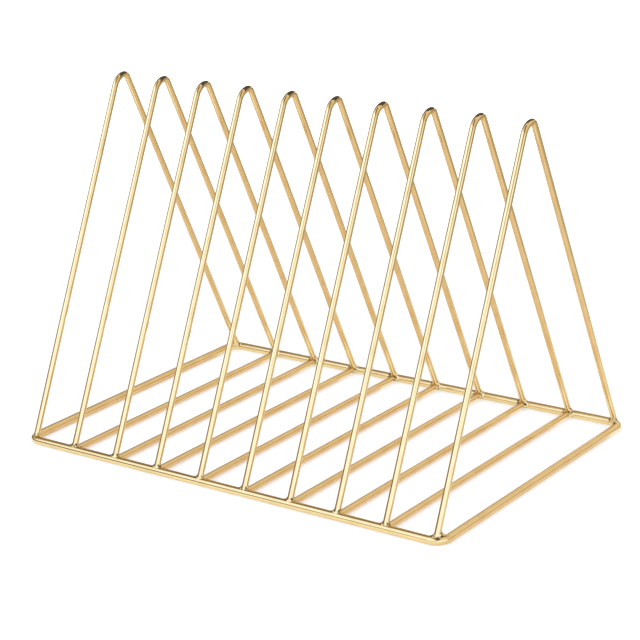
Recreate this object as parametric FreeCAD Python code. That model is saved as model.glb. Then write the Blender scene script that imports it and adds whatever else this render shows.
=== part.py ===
import FreeCAD, Part
import math
import os

Vector = FreeCAD.Vector

# A free-standing desktop rack of bent and welded wire. A base ring lies on the
# surface, cross wires tie its two long rails together, and a row of dividers
# shaped like an upside-down V stands on the rails. Millimetres. X runs along the
# row of dividers, -Y is the front, Z is up, and the origin is on the surface that
# the rack stands on, under the middle of the ring.

# Driving dimensions
RING_LENGTH = 300.0     # between the wire centres of the two short side runs
RING_DEPTH = 205.0      # between the wire centres of the front and rear rails
RING_WIRE = 5.0         # diameter of the ring's wire
RING_BEND = 8.0         # radius of the ring's corners, at the wire's centre
RACK_HEIGHT = 213.0     # from the surface to the top of the dividers
DIVIDER_COUNT = 10
DIVIDER_WIRE = 3.8      # diameter of the dividers' wire
FRONT_BEND = 9.5        # radius of the top bend's front half, at the wire's centre
REAR_BEND = 3.5         # radius of its rear half, which is the tighter one
END_INSET = 4.0         # from a side run's centre to the end divider's centre
CROSS_WIRE = 4.0        # diameter of the wires that cross the ring
WELD_FILLET = 2.8       # radius of the concave weld where two wires meet
WELD_CLEARANCE = 0.01   # hairline between a weld bead and the wires that it joins

# Positions that follow from them
RING_Z = RING_WIRE / 2
PITCH = (RING_LENGTH - 2 * END_INSET) / (DIVIDER_COUNT - 1)
APEX_Z = RACK_HEIGHT - DIVIDER_WIRE / 2
MEAN_BEND = (FRONT_BEND + REAR_BEND) / 2
WELD_REACH = RING_WIRE + max(DIVIDER_WIRE, CROSS_WIRE) + 2 * WELD_FILLET

FRONT = -1
REAR = 1
ORIGIN = Vector(0, 0, 0)
ALONG = Vector(1, 0, 0)
BACKWARDS = Vector(0, 1, 0)
ON_THE_SKIN = 1e-4      # a point this near to a surface lies on it


def divider_x(number):
    """Place of a divider along the row, counted from 1 at the left end."""
    return END_INSET - RING_LENGTH / 2 + (number - 1) * PITCH


def half_depth(x):
    """Distance from the middle of the ring to the rail's centre at x."""
    into_bend = abs(x) - (RING_LENGTH / 2 - RING_BEND)
    if into_bend <= 0:
        return RING_DEPTH / 2
    return RING_DEPTH / 2 - RING_BEND + math.sqrt(RING_BEND ** 2 - into_bend ** 2)


def foot_point(x, side):
    """Where a leg's centre line meets the centre line of the ring's wire."""
    return Vector(x, side * half_depth(x), RING_Z)


def leg_angle(x):
    """Slope of both legs of a divider: they touch the bend at the top as tangents."""
    across = half_depth(x)
    up = APEX_Z - MEAN_BEND - RING_Z
    return math.atan2(up, across) + math.asin(MEAN_BEND / math.hypot(across, up))


def leg_direction(x, side):
    angle = leg_angle(x)
    return Vector(0, -side * math.cos(angle), math.sin(angle))


def line(start, end):
    return Part.LineSegment(start, end).toShape()


def arc(start, middle, end):
    return Part.Arc(start, middle, end).toShape()


def bent_wire(edges, start, direction, diameter):
    """Round wire swept along straight runs and tangent arcs."""
    section = Part.Wire(Part.makeCircle(diameter / 2, start, direction))
    return Part.Wire(edges).makePipeShell([section], True, False)


def straight_wire(start, direction, length, diameter):
    return Part.makeCylinder(diameter / 2, length, start, direction)


def turned_left(heading):
    return Vector(-heading.y, heading.x, 0)


def ring_corner(corner, heading):
    """Start, arc and end of the ring's bend at a corner, turning left from heading."""
    turned = turned_left(heading)
    start = corner - heading * RING_BEND
    end = corner + turned * RING_BEND
    centre = start + turned * RING_BEND
    outward = (corner - centre).normalize()
    return start, arc(start, centre + outward * RING_BEND, end), end


def base_ring():
    """One wire bent round four corners and closed on itself."""
    right, rear = RING_LENGTH / 2, RING_DEPTH / 2
    start = Vector(0, -rear, RING_Z)
    edges = []
    last = start
    heading = ALONG
    for corner_x, corner_y in ((right, -rear), (right, rear), (-right, rear), (-right, -rear)):
        bend_start, bend, bend_end = ring_corner(Vector(corner_x, corner_y, RING_Z), heading)
        edges.append(line(last, bend_start))
        edges.append(bend)
        last = bend_end
        heading = turned_left(heading)
    edges.append(line(last, start))
    return bent_wire(edges, start, ALONG, RING_WIRE)


def bend_point(top, side, share):
    """Point on one half of the top bend, from its top at 0 to the leg at 1."""
    radius = FRONT_BEND if side == FRONT else REAR_BEND
    angle = leg_angle(top.x) * share
    return top + Vector(0, side * radius * math.sin(angle), radius * (math.cos(angle) - 1))


def divider(x):
    """One wire bent to an upside-down V, from rail centre to rail centre."""
    front_foot = foot_point(x, FRONT)
    top = Vector(x, (FRONT_BEND - REAR_BEND) / 2 * math.tan(leg_angle(x) / 2), APEX_Z)
    edges = [
        line(front_foot, bend_point(top, FRONT, 1)),
        arc(bend_point(top, FRONT, 1), bend_point(top, FRONT, 0.5), top),
        arc(top, bend_point(top, REAR, 0.5), bend_point(top, REAR, 1)),
        line(bend_point(top, REAR, 1), foot_point(x, REAR)),
    ]
    return bent_wire(edges, front_foot, leg_direction(x, FRONT), DIVIDER_WIRE)


def cross_wire(x):
    """Straight wire at the ring's height, from rail centre to rail centre."""
    return straight_wire(foot_point(x, FRONT), BACKWARDS, 2 * half_depth(x), CROSS_WIRE)


def rail_stub(x, diameter):
    """Piece of the ring round the front foot at x, with the foot at the origin."""
    corner = Vector(RING_LENGTH / 2 - x, half_depth(x) - RING_DEPTH / 2, 0)
    if corner.x > WELD_REACH + RING_BEND:
        start = ALONG * -WELD_REACH
        return straight_wire(start, ALONG, 2 * WELD_REACH, diameter)
    bend_start, bend, bend_end = ring_corner(corner, ALONG)
    start = bend_start - ALONG * WELD_REACH
    edges = [line(start, bend_start), bend, line(bend_end, bend_end + BACKWARDS * WELD_REACH)]
    return bent_wire(edges, start, ALONG, diameter)


def leg_stub(x, diameter):
    return straight_wire(ORIGIN, leg_direction(x, FRONT), WELD_REACH, diameter)


def cross_stub(diameter):
    return straight_wire(ORIGIN, BACKWARDS, WELD_REACH, diameter)


def filleted_joint(rail, wire):
    """Rail and wire as one body, with a concave fillet where their skins meet."""
    joined = rail.fuse(wire)
    meeting = []
    for edge in joined.Edges:
        middle = Part.Vertex(edge.valueAt((edge.FirstParameter + edge.LastParameter) / 2))
        gaps = [piece.Shells[0].distToShape(middle)[0] for piece in (rail, wire)]
        if max(gaps) < ON_THE_SKIN:
            meeting.append(edge)
    return joined.makeFillet(WELD_FILLET, meeting)


def end_bead(x):
    """Weld metal round an end divider's front foot, which stands on the ring's bend."""
    bead = filleted_joint(rail_stub(x, RING_WIRE), leg_stub(x, DIVIDER_WIRE))
    bead = bead.cut(rail_stub(x, RING_WIRE + 2 * WELD_CLEARANCE))
    return bead.cut(leg_stub(x, DIVIDER_WIRE + 2 * WELD_CLEARANCE))


def inner_bead(x):
    """Weld metal that joins a divider's front foot and a cross wire to the rail."""
    rail = rail_stub(x, RING_WIRE)
    leg_joint = filleted_joint(rail, leg_stub(x, DIVIDER_WIRE))
    cross_joint = filleted_joint(rail, cross_stub(CROSS_WIRE))
    bead = leg_joint.fuse(cross_joint)
    bead = bead.cut(rail_stub(x, RING_WIRE + 2 * WELD_CLEARANCE))
    bead = bead.cut(leg_stub(x, DIVIDER_WIRE + 2 * WELD_CLEARANCE))
    return bead.cut(cross_stub(CROSS_WIRE + 2 * WELD_CLEARANCE))


ring = base_ring()
nodes = {"base_ring": ring}
for number in range(1, DIVIDER_COUNT + 1):
    nodes["divider_%02d" % number] = divider(divider_x(number)).cut(ring)

# The ring's side runs lie under the end dividers, so only the others have a cross wire
for number in range(2, DIVIDER_COUNT):
    above = nodes["divider_%02d" % number]
    nodes["cross_wire_%02d" % number] = cross_wire(divider_x(number)).cut(ring).cut(above)

# Each bead is made at the origin and set in place, and the rear ones mirror the front ones
right_end = divider_x(DIVIDER_COUNT)
right_end_bead = end_bead(right_end).translated(foot_point(right_end, FRONT))
inner_bead_shape = inner_bead(divider_x(2))
front_beads = {1: right_end_bead.mirror(ORIGIN, ALONG), DIVIDER_COUNT: right_end_bead}
for number in range(2, DIVIDER_COUNT):
    front_beads[number] = inner_bead_shape.translated(foot_point(divider_x(number), FRONT))
for number, bead in sorted(front_beads.items()):
    nodes["front_weld_%02d" % number] = bead
    nodes["rear_weld_%02d" % number] = bead.mirror(ORIGIN, BACKWARDS)

os.makedirs("parts", exist_ok=True)
for name, shape in nodes.items():
    shape.exportStep("parts/%s.step" % name)
    print(name, "solids", len(shape.Solids), "volume %.2f" % shape.Volume, "valid", shape.isValid())
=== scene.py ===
import math

import bmesh
import bpy
from mathutils import Matrix, Vector


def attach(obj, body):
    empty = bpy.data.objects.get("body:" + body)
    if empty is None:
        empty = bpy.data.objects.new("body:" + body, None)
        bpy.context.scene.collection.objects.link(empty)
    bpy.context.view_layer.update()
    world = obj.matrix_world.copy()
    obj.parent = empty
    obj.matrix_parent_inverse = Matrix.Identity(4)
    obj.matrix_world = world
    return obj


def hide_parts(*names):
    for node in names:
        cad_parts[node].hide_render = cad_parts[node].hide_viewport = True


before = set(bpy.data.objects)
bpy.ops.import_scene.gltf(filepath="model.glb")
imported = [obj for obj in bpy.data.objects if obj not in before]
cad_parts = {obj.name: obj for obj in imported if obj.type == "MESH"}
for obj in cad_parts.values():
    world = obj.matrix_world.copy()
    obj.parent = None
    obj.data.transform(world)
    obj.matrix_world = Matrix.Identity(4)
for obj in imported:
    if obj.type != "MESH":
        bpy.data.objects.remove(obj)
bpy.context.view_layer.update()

# A desktop rack of bent and welded wire with a polished golden plating. Metres, in the
# frame of the CAD model: X along the row of dividers, -Y the front, Z up, floor at 0.

# Sizes of the wires, the same as the solids have. Bends are measured at the wire's centre.
RING_LENGTH = 0.300     # between the wire centres of the two short side runs
RING_DEPTH = 0.205      # between the wire centres of the front and rear rails
RING_WIRE = 0.005       # diameter of the ring's wire
RING_BEND = 0.008       # radius of the ring's corners
RACK_HEIGHT = 0.213     # from the floor to the top of the dividers
DIVIDER_COUNT = 10
DIVIDER_WIRE = 0.0038   # diameter of the dividers' wire
FRONT_BEND = 0.0095     # radius of the top bend's front half
REAR_BEND = 0.0035      # radius of its rear half
END_INSET = 0.004       # from a side run's centre to the end divider's centre
CROSS_WIRE = 0.0040     # diameter of the wires that cross the ring

RING_Z = RING_WIRE / 2
PITCH = (RING_LENGTH - 2 * END_INSET) / (DIVIDER_COUNT - 1)
APEX_Z = RACK_HEIGHT - DIVIDER_WIRE / 2
MEAN_BEND = (FRONT_BEND + REAR_BEND) / 2

ALONG_ROW = Vector((1, 0, 0))
BACKWARDS = Vector((0, 1, 0))
UP = Vector((0, 0, 1))
QUARTER_TURN = 90       # degrees

# How finely the wires are meshed
SIDES = 40
RUN_STEP = 0.010
BEND_STEP = math.radians(4)
END_LIP = 0.0002        # short run at a cut end, which keeps the flat cap out of the shading
SAME_PLACE = 1e-6       # points nearer than this are one point
HALF_ROUND = 0.5        # half of the way round the wire on its UV map


def divider_x(number):
    """Place of a divider along the row, counted from 1 at the left end."""
    return END_INSET - RING_LENGTH / 2 + (number - 1) * PITCH


def half_depth(x):
    """Distance from the middle of the ring to the rail's centre at x."""
    into_bend = abs(x) - (RING_LENGTH / 2 - RING_BEND)
    if into_bend <= 0:
        return RING_DEPTH / 2
    return RING_DEPTH / 2 - RING_BEND + math.sqrt(RING_BEND ** 2 - into_bend ** 2)


def leg_angle(x):
    """Slope of both legs of a divider: they touch the bend at the top as tangents."""
    across = half_depth(x)
    rise = APEX_Z - MEAN_BEND - RING_Z
    return math.atan2(rise, across) + math.asin(MEAN_BEND / math.hypot(across, rise))


def leg_length(angle, bend):
    """Straight part of a leg, from the rail's centre to its half of the top bend."""
    return (APEX_Z - RING_Z - bend * (1 - math.cos(angle))) / math.sin(angle)


def add_object(name, data):
    """Object of a mesh, a lamp or a camera, in the scene."""
    obj = bpy.data.objects.new(name, data)
    bpy.context.scene.collection.objects.link(obj)
    return obj


def add_mesh(name, mesh):
    """Object of a finished bmesh, which is freed."""
    data = bpy.data.meshes.new(name)
    mesh.to_mesh(data)
    mesh.free()
    return add_object(name, data)


class BentWire:
    """Round wire that grows from its first section along straight runs and bends.

    Its UV map "wire" follows it: U goes once round the wire, V is the length in metres."""

    def __init__(self, start, heading, diameter):
        self.mesh = bmesh.new()
        self.around = self.mesh.verts.layers.float.new("around")
        self.along = self.mesh.verts.layers.float.new("along")
        turn = heading.to_track_quat("Z", "Y").to_matrix().to_4x4()
        section = bmesh.ops.create_circle(
            self.mesh, cap_ends=False, segments=SIDES, radius=diameter / 2,
            matrix=Matrix.Translation(start) @ turn)
        for number, vert in enumerate(section["verts"]):
            vert[self.around] = number / SIDES
        self.first = list(self.mesh.edges)
        self.end = self.first
        self.place = start.copy()
        self.heading = heading.normalized()
        self.length = 0.0

    def section_on(self, distance):
        """Pull the next section out of the last one, for the caller to move."""
        grown = bmesh.ops.extrude_edge_only(self.mesh, edges=self.end)["geom"]
        verts = [part for part in grown if isinstance(part, bmesh.types.BMVert)]
        fresh = set(verts)
        self.end = [part for part in grown if isinstance(part, bmesh.types.BMEdge)
                    and part.verts[0] in fresh and part.verts[1] in fresh]
        self.length += distance
        for vert in verts:
            vert[self.along] = self.length
        return verts

    def run(self, distance):
        """Go straight on."""
        steps = max(1, round(distance / RUN_STEP))
        for _ in range(steps):
            verts = self.section_on(distance / steps)
            bmesh.ops.translate(self.mesh, verts=verts, vec=self.heading * (distance / steps))
        self.place = self.place + self.heading * distance

    def bend(self, axis, angle, radius):
        """Turn about an axis that lies square to the wire, a bend's radius to its side."""
        centre = self.place + axis.cross(self.heading).normalized() * radius
        steps = max(1, round(angle / BEND_STEP))
        turn = Matrix.Rotation(angle / steps, 3, axis)
        for _ in range(steps):
            verts = self.section_on(radius * angle / steps)
            bmesh.ops.rotate(self.mesh, verts=verts, cent=centre, matrix=turn)
        whole = Matrix.Rotation(angle, 3, axis)
        self.place = centre + whole @ (self.place - centre)
        self.heading = whole @ self.heading

    def write_uv(self):
        """Write the UV map. On a face across the seam, U goes on at 1 and doesn't restart at 0."""
        uv = self.mesh.loops.layers.uv.new("wire")
        for face in self.mesh.faces:
            turns = [loop.vert[self.around] for loop in face.loops]
            across_seam = max(turns) - min(turns) > HALF_ROUND
            for loop, turn in zip(face.loops, turns):
                if across_seam and turn < HALF_ROUND:
                    turn += 1
                loop[uv].uv = (turn, loop.vert[self.along])

    def piece(self, name, closed=False):
        """Cap the cut ends, or join them where the wire is closed, and make the object."""
        if not closed:
            for ends in (self.first, self.end):
                bmesh.ops.contextual_create(self.mesh, geom=ends)
        self.write_uv()
        for face in self.mesh.faces:
            # The wire's sides are quads, and only its flat caps have more corners
            face.smooth = len(face.verts) == 4
        if closed:
            bmesh.ops.remove_doubles(self.mesh, verts=self.mesh.verts[:], dist=SAME_PLACE)
        bmesh.ops.recalc_face_normals(self.mesh, faces=self.mesh.faces[:])
        measures = self.mesh.verts.layers.float
        for measure in ("around", "along"):
            measures.remove(measures[measure])
        obj = add_mesh(name, self.mesh)
        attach(obj, "root")
        return obj


def make_base_ring():
    """One wire bent round four corners and closed on itself."""
    wire = BentWire(Vector((0, -RING_DEPTH / 2, RING_Z)), ALONG_ROW, RING_WIRE)
    long_run = RING_LENGTH / 2 - RING_BEND
    short_run = RING_DEPTH - 2 * RING_BEND
    wire.run(long_run)
    for run_after in (short_run, 2 * long_run, short_run, long_run):
        wire.bend(UP, math.radians(QUARTER_TURN), RING_BEND)
        wire.run(run_after)
    return wire.piece("ring_wire", closed=True)


def make_divider(number):
    """One wire bent to an upside-down V, from rail centre to rail centre."""
    x = divider_x(number)
    angle = leg_angle(x)
    foot = Vector((x, -half_depth(x), RING_Z))
    wire = BentWire(foot, Vector((0, math.cos(angle), math.sin(angle))), DIVIDER_WIRE)
    wire.run(END_LIP)
    wire.run(leg_length(angle, FRONT_BEND) - END_LIP)
    wire.bend(-ALONG_ROW, angle, FRONT_BEND)
    wire.bend(-ALONG_ROW, angle, REAR_BEND)
    wire.run(leg_length(angle, REAR_BEND) - END_LIP)
    wire.run(END_LIP)
    return wire.piece("divider_wire_%02d" % number)


def make_cross_wire(number):
    """Straight wire at the ring's height, from rail centre to rail centre."""
    x = divider_x(number)
    wire = BentWire(Vector((x, -half_depth(x), RING_Z)), BACKWARDS, CROSS_WIRE)
    wire.run(END_LIP)
    wire.run(2 * (half_depth(x) - END_LIP))
    wire.run(END_LIP)
    return wire.piece("cross_bar_%02d" % number)


class Socket:
    """A socket of a node, so that shader maths can be written as an expression."""

    def __init__(self, shader, socket):
        self.shader = shader
        self.socket = socket

    def __add__(self, other):
        return self.shader.maths("ADD", self, other)

    def __radd__(self, other):
        return self.shader.maths("ADD", other, self)

    def __sub__(self, other):
        return self.shader.maths("SUBTRACT", self, other)

    def __rsub__(self, other):
        return self.shader.maths("SUBTRACT", other, self)

    def __mul__(self, other):
        return self.shader.maths("MULTIPLY", self, other)

    def __rmul__(self, other):
        return self.shader.maths("MULTIPLY", other, self)


class Shader:
    """The node tree of a material or a world, which is filled from empty."""

    def __init__(self, owner):
        owner.use_nodes = True
        self.tree = owner.node_tree
        self.tree.nodes.clear()

    def node(self, kind, settings=None, sockets=None):
        """Any node: its type, its settings, and the values or links of its sockets."""
        made = self.tree.nodes.new(kind)
        for name, value in (settings or {}).items():
            setattr(made, name, value)
        for name, value in (sockets or {}).items():
            if isinstance(value, Socket):
                self.tree.links.new(value.socket, made.inputs[name])
            else:
                made.inputs[name].default_value = value
        return made

    def out(self, node, name=0):
        """One output of a node, by its name or number."""
        return Socket(self, node.outputs[name])

    def maths(self, operation, *values):
        """Maths on numbers."""
        made = self.node("ShaderNodeMath", {"operation": operation}, dict(enumerate(values)))
        return self.out(made)

    def vector_maths(self, operation, output, *vectors):
        """Maths on vectors or colours. A length or a dot product is the output "Value"."""
        made = self.node(
            "ShaderNodeVectorMath", {"operation": operation}, dict(enumerate(vectors)))
        return self.out(made, output)

    def split(self, vector):
        """The three parts of a vector."""
        made = self.node("ShaderNodeSeparateXYZ", None, {0: vector})
        return [self.out(made, number) for number in range(3)]

    def joined(self, x, y, z):
        """Vector of three parts."""
        return self.out(self.node("ShaderNodeCombineXYZ", None, {0: x, 1: y, 2: z}))

    def stepped(self, value, edge, levels=(0.0, 1.0)):
        """Smooth step between two levels, over an edge from its first value to its second."""
        made = self.node("ShaderNodeMapRange", {"interpolation_type": "SMOOTHSTEP"}, {
            "Value": value, "From Min": edge[0], "From Max": edge[1],
            "To Min": levels[0], "To Max": levels[1]})
        return self.out(made, "Result")

    def blend(self, share, first, second):
        """Colour between two colours. Mix has them at inputs 6 and 7 and at output 2."""
        made = self.node("ShaderNodeMix", {"data_type": "RGBA"}, {0: share, 6: first, 7: second})
        return self.out(made, 2)

    def noise(self, place, scale, detail):
        """Soft noise from 0 to 1, round a middle of 0.5."""
        made = self.node("ShaderNodeTexNoise", None, {
            "Vector": place, "Scale": scale, "Detail": detail})
        return self.out(made)

    def surface(self, output, node):
        """Lead a shader to the output node of the material or the world."""
        self.node(output, None, {"Surface": self.out(node)})


# Plating. Scales of noise are per metre, and a roughness by noise is its whole span.
PLATING = (0.765, 0.525, 0.228, 1)
PLATING_DEEP = (0.715, 0.47, 0.19, 1)
DEEP_EDGE = (0.35, 0.75)
PATCH_DETAIL = 3
NOISE_MIDDLE = 0.5

# Drawn wire: polished, with faint lines along it
WIRE_ROUGHNESS = 0.06
WIRE_PATCH_SCALE = 90
WIRE_PATCH_ROUGHNESS = 0.05
LINE_SCALE = 2000
LINE_DETAIL = 1
LINE_SHRINK = 0.02      # the noise goes this share of the way along, so that it makes lines
LINE_ROUGHNESS = 0.03
LINE_BUMP = 0.1
LINE_HEIGHT = 0.000002

# Weld: less polished and rippled, with painted shade: near-black specks that stand in for the dark
# reflections and shade in its crevices
WELD_ROUGHNESS = 0.10
WELD_PATCH_SCALE = 300
WELD_PATCH_ROUGHNESS = 0.1
RIPPLE_SCALE = 650
RIPPLE_DETAIL = 1
RIPPLE_BUMP = 0.45
RIPPLE_HEIGHT = 0.0002
PAINTED_WELD_SHADE = (0.06, 0.03, 0.008, 1)
PAINTED_SHADE_SCALE = 750
PAINTED_SHADE_DETAIL = 2
PAINTED_SHADE_EDGE = (0.50, 0.67)
PAINTED_SHADE_ROUGHNESS = 0.25


def plating_colour(shader, patches):
    """Golden plating that is a little deeper in patches."""
    return shader.blend(shader.stepped(patches, DEEP_EDGE), PLATING, PLATING_DEEP)


def bumpy_metal(shader, colour, roughness, bumps, strength, height):
    """Bare metal with a bump, as the surface of a material."""
    bump = shader.node("ShaderNodeBump", None, {
        "Strength": strength, "Distance": height, "Height": bumps})
    metal = shader.node("ShaderNodeBsdfPrincipled", None, {
        "Base Color": colour, "Metallic": 1.0, "Roughness": roughness,
        "Normal": shader.out(bump)})
    shader.surface("ShaderNodeOutputMaterial", metal)


def plated_wire(name, diameter):
    """Polished golden plating over drawn wire, on the wire's own UV map."""
    material = bpy.data.materials.new(name)
    shader = Shader(material)
    uv = shader.out(shader.node("ShaderNodeUVMap", {"uv_map": "wire"}))
    around, along, _ = shader.split(uv)
    turn = around * (2 * math.pi)
    side = shader.maths("COSINE", turn) * (diameter / 2)
    other = shader.maths("SINE", turn) * (diameter / 2)
    skin = shader.joined(side, other, along)
    drawn = shader.joined(side, other, along * LINE_SHRINK)
    patches = shader.noise(skin, WIRE_PATCH_SCALE, PATCH_DETAIL)
    lines = shader.noise(drawn, LINE_SCALE, LINE_DETAIL)
    colour = plating_colour(shader, patches)
    rough = WIRE_ROUGHNESS + (lines - NOISE_MIDDLE) * LINE_ROUGHNESS
    rough = rough + (patches - NOISE_MIDDLE) * WIRE_PATCH_ROUGHNESS
    bumpy_metal(shader, colour, rough, lines, LINE_BUMP, LINE_HEIGHT)
    return material


def plated_weld(name):
    """The same plating over the uneven skin of a weld, with near-black specks of painted shade in
    it.
    """
    material = bpy.data.materials.new(name)
    shader = Shader(material)
    place = shader.out(shader.node("ShaderNodeTexCoord"), "Object")
    patches = shader.noise(place, WELD_PATCH_SCALE, PATCH_DETAIL)
    ripples = shader.noise(place, RIPPLE_SCALE, RIPPLE_DETAIL)
    # Near-black specks placed by noise are painted shade and dark reflection in the weld's
    # crevices, not a colour of the metal. They are also rougher.
    painted_shade_specks = shader.stepped(shader.noise(place, PAINTED_SHADE_SCALE, PAINTED_SHADE_DETAIL), PAINTED_SHADE_EDGE)
    colour = shader.blend(painted_shade_specks, plating_colour(shader, patches), PAINTED_WELD_SHADE)
    rough = WELD_ROUGHNESS + (patches - NOISE_MIDDLE) * WELD_PATCH_ROUGHNESS
    rough = rough + painted_shade_specks * PAINTED_SHADE_ROUGHNESS
    bumpy_metal(shader, colour, rough, ripples, RIPPLE_BUMP, RIPPLE_HEIGHT)
    return material


ring_finish = plated_wire("ring_plating", RING_WIRE)
divider_finish = plated_wire("divider_plating", DIVIDER_WIRE)
cross_finish = plated_wire("cross_wire_plating", CROSS_WIRE)
weld_finish = plated_weld("weld_plating")

ring = make_base_ring()
ring.data.materials.append(ring_finish)
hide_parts("base_ring")

for number in range(1, DIVIDER_COUNT + 1):
    divider = make_divider(number)
    divider.data.materials.append(divider_finish)
    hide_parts("divider_%02d" % number)

# The ring's side runs lie under the end dividers, so only the others have a cross wire
for number in range(2, DIVIDER_COUNT):
    cross = make_cross_wire(number)
    cross.data.materials.append(cross_finish)
    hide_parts("cross_wire_%02d" % number)

# The weld beads keep their CAD shapes
for number in range(1, DIVIDER_COUNT + 1):
    for rail in ("front", "rear"):
        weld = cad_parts["%s_weld_%02d" % (rail, number)]
        for slot in weld.material_slots:
            slot.material = weld_finish


# The photograph's viewing angle, in degrees and metres, with the lens in millimetres
CAMERA_AZIMUTH = 36.296
CAMERA_ELEVATION = 18.226
CAMERA_ROLL = 2.131
CAMERA_PLACE = (0.70966, -0.96660, 0.46923)
CAMERA_LENS = 117.83
SENSOR_WIDTH = 36

BLACK = (0, 0, 0, 1)
WHITE = (1, 1, 1, 1)

# Floor. The lit and the white zone have their edges by the distance from the origin, and
# the strips at the rails have theirs by Y.
FLOOR_RADIUS = 6.0
FLOOR_SIDES = 96
PAPER = (0.85, 0.82, 0.77, 1)
PAPER_GLOW = (0.35, 0.34, 0.32, 1)
RAIL_GLOW = (0.55, 0.78, 1.0, 1)
DARK_SURROUND = (0.18, 0.18, 0.18, 1)
LIT_EDGE = (0.50, 0.20)
LIT_LEVELS = (0.5, 1.0)
FRONT_STRIP_EDGE = (-0.09, -0.12)
REAR_STRIP_FRONT_EDGE = (0.080, 0.088)
REAR_STRIP_REAR_EDGE = (0.103, 0.102)
REAR_STRIP_SHARE = 0.75
WHITE_EDGE = (0.3, 1.0)
WHITE_LEVELS = (0.38, 1.0)

# Dark parts of the room. An edge is by the part of a direction of length 1 that goes to
# the right, to the back or up. The corner's is by the cosine of the angle to its middle,
# and the ceiling's width by the square of the part that goes to the camera's side.
CORNER_AZIMUTH = -119
CORNER_ELEVATION = 38
CORNER_EDGE = (0.83, 0.94)
CORNER_DEPTH = 0.75
LEFT_SKIRTING_SIDE = (-0.45, -0.65)
LEFT_SKIRTING_TOP = (0.32, 0.24)
REAR_SKIRTING_SIDE = (0.1, 0.3)
REAR_SKIRTING_TOP = (0.15, 0.08)
REAR_SKIRTING_DEPTH = 0.85
CEILING_WIDTH_SQUARED = (0.070, 0.040)
CEILING_BOTTOM = (0.44, 0.50)
CEILING_REAR = (0.0, -0.1)
DARKEST = 0.18

# Softboxes: name, azimuth, elevation, width, height, and brightness, where 1 is white
SOFTBOXES = (
    ("left_softbox", -33, 41, 0.80, 0.70, 1.8),
    ("front_softbox", 7, 34, 0.70, 0.72, 1.8),
    ("low_softbox", 37, 15, 0.26, 0.28, 1.7),
    ("right_softbox", 67, 14, 0.86, 0.50, 1.7),
)
SOFTBOX_DISTANCE = 1.0
SOFTBOX_AIM = Vector((0, 0, 0.1))
COOL_LIGHT = (0.22, 0.46, 1.0)

CARD_CENTRE = (-0.4, 0.12, 0.507)
CARD_WIDTH = 1.20
CARD_HEIGHT = 0.50
CLOTH = (0.12, 0.12, 0.12, 1)


def direction(azimuth, elevation):
    """Direction from the rack: azimuth in degrees from the front, to the right."""
    a = math.radians(azimuth)
    e = math.radians(elevation)
    return Vector((math.sin(a) * math.cos(e), -math.cos(a) * math.cos(e), math.sin(e)))


def white_paper():
    """Paper that the camera sees as nearly white, with the rack's shadow on it.

    The wires see it glow, with a cool strip at each rail, and dimmer away from the rack."""
    material = bpy.data.materials.new("white_paper")
    shader = Shader(material)
    place = shader.out(shader.node("ShaderNodeTexCoord"), "Object")
    away = shader.vector_maths("LENGTH", "Value", place)
    _, depth, _ = shader.split(place)
    rays = shader.node("ShaderNodeLightPath")
    by_camera = shader.out(rays, "Is Camera Ray")
    by_wires = shader.out(rays, "Is Glossy Ray")
    lit = shader.stepped(away, LIT_EDGE, LIT_LEVELS)
    front_strip = shader.stepped(depth, FRONT_STRIP_EDGE)
    rear_strip = shader.stepped(depth, REAR_STRIP_FRONT_EDGE)
    rear_strip = rear_strip * shader.stepped(depth, REAR_STRIP_REAR_EDGE)
    sheen = shader.blend(front_strip + REAR_STRIP_SHARE * rear_strip, PAPER_GLOW, RAIL_GLOW)
    sheen = shader.blend(by_wires * lit, BLACK, sheen)
    whiteness = by_camera * shader.stepped(away, WHITE_EDGE, WHITE_LEVELS)
    glow = shader.vector_maths("ADD", "Vector", sheen, shader.blend(whiteness, BLACK, WHITE))
    paper = shader.node("ShaderNodeBsdfDiffuse", None, {
        "Color": shader.blend(by_wires * (1 - lit), PAPER, DARK_SURROUND)})
    light = shader.node("ShaderNodeEmission", None, {"Color": glow, "Strength": 1.0})
    both = shader.node("ShaderNodeAddShader", None, {0: shader.out(paper), 1: shader.out(light)})
    shader.surface("ShaderNodeOutputMaterial", both)
    return material


def make_floor():
    """Wide round floor under the rack."""
    mesh = bmesh.new()
    bmesh.ops.create_circle(mesh, cap_ends=True, segments=FLOOR_SIDES, radius=FLOOR_RADIUS)
    floor = add_mesh("white_floor", mesh)
    floor.data.materials.append(white_paper())


def room_level(shader):
    """Brightness of the room: white, with four dark parts that draw the wires' edges.

    They are a high corner behind on the left, the skirtings of the left wall and of the
    rear wall, and the ceiling over the camera."""
    towards = shader.out(shader.node("ShaderNodeTexCoord"), "Generated")
    to_right, to_back, height = shader.split(towards)
    corner_middle = direction(CORNER_AZIMUTH, CORNER_ELEVATION)
    nearness = shader.vector_maths("DOT_PRODUCT", "Value", towards, corner_middle)
    corner = shader.stepped(nearness, CORNER_EDGE)
    left_skirting = shader.stepped(to_right, LEFT_SKIRTING_SIDE)
    left_skirting = left_skirting * shader.stepped(height, LEFT_SKIRTING_TOP)
    rear_skirting = shader.stepped(to_back, REAR_SKIRTING_SIDE)
    rear_skirting = rear_skirting * shader.stepped(height, REAR_SKIRTING_TOP)
    camera_right = direction(CAMERA_AZIMUTH + QUARTER_TURN, 0)
    aside = shader.vector_maths("DOT_PRODUCT", "Value", towards, camera_right)
    ceiling = shader.stepped(aside * aside, CEILING_WIDTH_SQUARED)
    ceiling = ceiling * shader.stepped(height, CEILING_BOTTOM)
    ceiling = ceiling * shader.stepped(to_back, CEILING_REAR)
    white = (1 - CORNER_DEPTH * corner) * (1 - left_skirting) * (1 - ceiling)
    white = white * (1 - REAR_SKIRTING_DEPTH * rear_skirting)
    return DARKEST + white * (1 - DARKEST)


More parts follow.
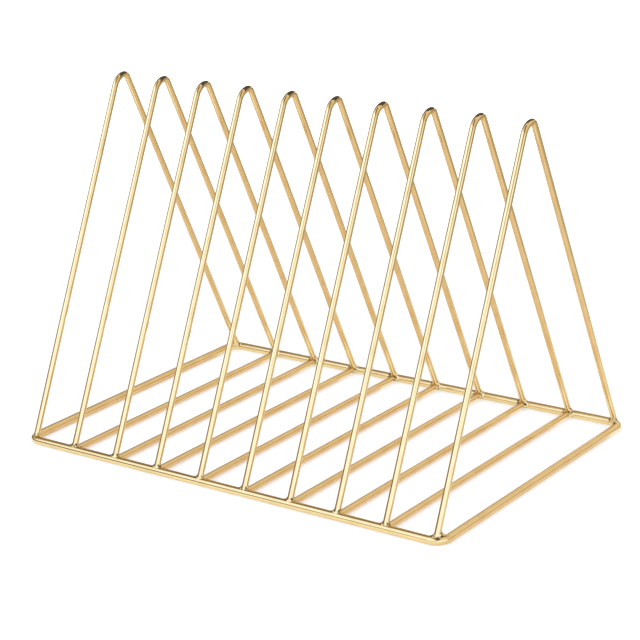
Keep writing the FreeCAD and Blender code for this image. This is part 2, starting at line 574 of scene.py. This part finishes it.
def hang_softbox(name, azimuth, elevation, width, height, brightness):
    """Cool area lamp that faces the rack."""
    lamp = bpy.data.lights.new(name, "AREA")
    lamp.shape = "RECTANGLE"
    lamp.size = width
    lamp.size_y = height
    lamp.energy = math.pi * width * height * brightness
    lamp.color = COOL_LIGHT
    centre = direction(azimuth, elevation) * SOFTBOX_DISTANCE
    softbox = add_object(name, lamp)
    softbox.location = centre
    softbox.rotation_mode = "QUATERNION"
    softbox.rotation_quaternion = (centre - SOFTBOX_AIM).to_track_quat("Z", "Y")
    softbox.visible_camera = False


def light_room():
    """The room, which the camera itself sees as plain white, and the softboxes in it."""
    world = bpy.data.worlds.new("studio")
    bpy.context.scene.world = world
    shader = Shader(world)
    by_camera = shader.out(shader.node("ShaderNodeLightPath"), "Is Camera Ray")
    brightness = by_camera + (1 - by_camera) * room_level(shader)
    glow = shader.node("ShaderNodeBackground", None, {"Color": WHITE, "Strength": brightness})
    shader.surface("ShaderNodeOutputWorld", glow)
    for softbox in SOFTBOXES:
        hang_softbox(*softbox)


def dark_cloth():
    """Plain dark cloth for the card."""
    material = bpy.data.materials.new("dark_cloth")
    shader = Shader(material)
    cloth = shader.node("ShaderNodeBsdfDiffuse", None, {"Color": CLOTH})
    shader.surface("ShaderNodeOutputMaterial", cloth)
    return material


def hang_dark_card():
    """Dark card high up behind the rack on the left, which only reflections show."""
    mesh = bmesh.new()
    upright = Matrix.Rotation(math.radians(QUARTER_TURN), 4, "X")
    sized = Matrix.Diagonal((CARD_WIDTH / 2, CARD_HEIGHT / 2, 1, 1))
    bmesh.ops.create_grid(mesh, x_segments=1, y_segments=1, size=1.0,
                          matrix=Matrix.Translation(CARD_CENTRE) @ upright @ sized)
    card = add_mesh("dark_card", mesh)
    card.data.materials.append(dark_cloth())
    card.visible_camera = False
    card.visible_diffuse = False
    card.visible_shadow = False


def place_camera():
    """Camera at the photograph's viewing angle, rolled a little about its line of sight."""
    back = direction(CAMERA_AZIMUTH, CAMERA_ELEVATION)
    level_right = direction(CAMERA_AZIMUTH + QUARTER_TURN, 0)
    level_up = back.cross(level_right)
    roll = math.radians(CAMERA_ROLL)
    right = level_right * math.cos(roll) - level_up * math.sin(roll)
    up = level_up * math.cos(roll) + level_right * math.sin(roll)
    data = bpy.data.cameras.new("photo_camera")
    data.lens = CAMERA_LENS
    data.sensor_width = SENSOR_WIDTH
    camera = add_object("photo_camera", data)
    turn = Matrix((right, up, back)).transposed()
    camera.matrix_world = Matrix.Translation(CAMERA_PLACE) @ turn.to_4x4()
    bpy.context.scene.camera = camera


make_floor()
light_room()
hang_dark_card()
place_camera()
bpy.context.scene.view_settings.view_transform = "Standard"
